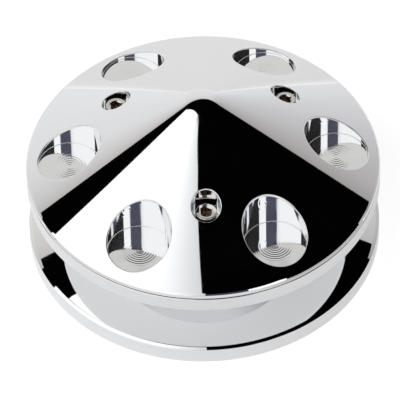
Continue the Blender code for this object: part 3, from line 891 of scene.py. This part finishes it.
def buildWorld():
    world = bpy.data.worlds.new("studioTent")
    bpy.context.scene.world = world
    world.use_nodes = True
    tree = world.node_tree
    tree.nodes.clear()
    place = addNode(tree, "ShaderNodeTexCoord").outputs["Generated"]

    def multiplied(first, second):
        node = addNode(tree, "ShaderNodeMix", {"data_type": "RGBA", "blend_type": "MULTIPLY"},
                       [(6, first), (7, second)])
        node.inputs[0].default_value = 1.0
        return node.outputs[2]

    def shades(value, stops):
        node = addNode(tree, "ShaderNodeValToRGB", links=[("Fac", value)])
        elements = node.color_ramp.elements
        elements[0].position, elements[0].color = stops[0][0], hexColour(stops[0][1])
        elements[1].position, elements[1].color = stops[-1][0], hexColour(stops[-1][1])
        for spot, colour in stops[1:-1]:
            elements.new(spot).color = hexColour(colour)
        return node.outputs["Color"]

    axes = addNode(tree, "ShaderNodeSeparateXYZ", links=[("Vector", place)])
    leftward = addNode(tree, "ShaderNodeMath", {"operation": "MULTIPLY"}, [(0, axes.outputs["X"])])
    leftward.inputs[1].default_value = -1.0
    rightWall = shades(axes.outputs["X"], [(0.2, "FFFFFF"), (0.35, "FBFBFC"), (0.412, "F6F6F7"),
                                           (0.471, "EEEEEF"),
                                           (0.559, "E6E5E6"), (0.64, "DCDADB"), (0.69, "D4D1D1"),
                                           (1.0, "D0CDCD")])
    leftWall = shades(leftward.outputs["Value"], [(0.6, "FFFFFF"), (0.8, "F6F4F4"), (1.0, "F2F1F1")])
    roof = shades(axes.outputs["Z"], [(0.05, "EFEFF0"), (0.26, "EAEAEB"), (0.38, "E9E9E9"),
                                      (0.48, "E8E7E7"), (0.56, "EAE8E6"),
                                      (0.74, "EFEEEC"), (1.0, "E6E6E4")])
    rise = addNode(tree, "ShaderNodeMath", {"operation": "ARCTAN2"},
                   [(0, axes.outputs["Z"]), (1, axes.outputs["Y"])])
    turns = addNode(tree, "ShaderNodeMath", {"operation": "DIVIDE"}, [(0, rise.outputs["Value"])])
    turns.inputs[1].default_value = pi
    # the tent falls away into shade just behind the flag
    shade = shades(turns.outputs["Value"],
                   [(0.161, "FFFFFF"), (0.187, "FDFDFD"), (0.221, "F7F7F7"), (0.25, "F0F0F0"),
                                            (0.2756, "E6E5E5"), (0.3056, "D7D4D4"), (0.344, "FFFFFF")])
    mixed = multiplied(multiplied(rightWall, leftWall), multiplied(roof, shade))
    tent = addNode(tree, "ShaderNodeBackground", {"Strength": 1.0}, [("Color", mixed)])
    backdrop = addNode(tree, "ShaderNodeBackground", {"Color": hexColour("FFFFFF"), "Strength": 1.0})
    seen = addNode(tree, "ShaderNodeLightPath").outputs["Is Camera Ray"]
    mix = addNode(tree, "ShaderNodeMixShader",
                  links=[(0, seen), (1, tent.outputs[0]), (2, backdrop.outputs[0])])
    addNode(tree, "ShaderNodeOutputWorld", links=[("Surface", mix.outputs[0])])


paper = {
    "reach": 6.0,
    "colour": "E4E4E4",
    "roughness": 0.9,
    # painted shade: the floor's glow in mirrors is turned down round this point, beside the pulley towards
    # the front right, to stand for the pulley's contact shadow
    "paintedShadeCentre": (0.05, -0.03, 0),  # its glow in mirrors is weakest round here
    "paintedShadeNear": 0.05,
    "paintedShadeFar": 0.14,
    "glowNear": 0.37,
    "glowFar": 0.425,
    "glowSeen": 0.7,  # what the camera itself sees
}


def buildFloor():
    mesh = bpy.data.meshes.new("floor")
    far = paper["reach"]
    mesh.from_pydata([(-far, -far, 0), (far, -far, 0), (far, far, 0), (-far, far, 0)], [], [(0, 1, 2, 3)])
    floor = bpy.data.objects.new("floor", mesh)
    bpy.context.scene.collection.objects.link(floor)
    material = bpy.data.materials.new("palePaper")
    material.use_nodes = True
    tree = material.node_tree
    shader = tree.nodes["Principled BSDF"]
    shader.inputs["Base Color"].default_value = hexColour(paper["colour"])
    shader.inputs["Roughness"].default_value = paper["roughness"]
    shader.inputs["Specular IOR Level"].default_value = 0.0
    shader.inputs["Emission Color"].default_value = hexColour("FFFFFF")
    seen = addNode(tree, "ShaderNodeLightPath").outputs["Is Camera Ray"]
    # painted shade: the floor glows evenly, but for reflected rays its glow is dimmed near the pulley as a
    # painted contact shadow; the camera sees it evenly white
    place = addNode(tree, "ShaderNodeTexCoord").outputs["Object"]
    away = addNode(tree, "ShaderNodeVectorMath", {"operation": "DISTANCE"}, [(0, place)])
    away.inputs[1].default_value = paper["paintedShadeCentre"]
    paintedShadeGlow = addNode(tree, "ShaderNodeMapRange", {
        "From Min": paper["paintedShadeNear"], "From Max": paper["paintedShadeFar"],
        "To Min": paper["glowNear"], "To Max": paper["glowFar"]}, [("Value", away.outputs["Value"])])
    glow = addNode(tree, "ShaderNodeMapRange", {"To Max": paper["glowSeen"]},
                   [("Value", seen), ("To Min", paintedShadeGlow.outputs["Result"])])
    tree.links.new(glow.outputs["Result"], shader.inputs["Emission Strength"])
    clear = addNode(tree, "ShaderNodeBsdfTransparent")
    side = addNode(tree, "ShaderNodeNewGeometry").outputs["Backfacing"]
    mix = addNode(tree, "ShaderNodeMixShader",
                  links=[(0, side), (1, shader.outputs[0]), (2, clear.outputs[0])])
    tree.links.new(mix.outputs[0], tree.nodes["Material Output"].inputs["Surface"])
    mesh.materials.append(material)


def buildCamera():
    turn, rise, roll = radians(studio["turn"]), radians(studio["cameraElevation"]), radians(studio["roll"])
    back = Vector((sin(turn) * cos(rise), -cos(turn) * cos(rise), sin(rise)))
    right = Vector((cos(turn), sin(turn), 0))
    up = back.cross(right)
    rightRolled = right * cos(roll) + up * sin(roll)
    upRolled = up * cos(roll) - right * sin(roll)
    data = bpy.data.cameras.new("camera")
    data.lens, data.sensor_width = studio["lens"], 36
    data.clip_start, data.clip_end = 0.01, 50
    camera = bpy.data.objects.new("camera", data)
    bpy.context.scene.collection.objects.link(camera)
    spot = Vector((0, 0, studio["aimHeight"])) + back * studio["cameraDistance"] + right * studio["slide"]
    axes = Matrix((rightRolled, upRolled, back)).transposed().to_4x4()
    camera.matrix_world = Matrix.Translation(spot) @ axes
    bpy.context.scene.camera = camera


buildWorld()
buildFloor()
buildCamera()
bpy.context.scene.view_settings.view_transform = "Standard"
print("studio ready")
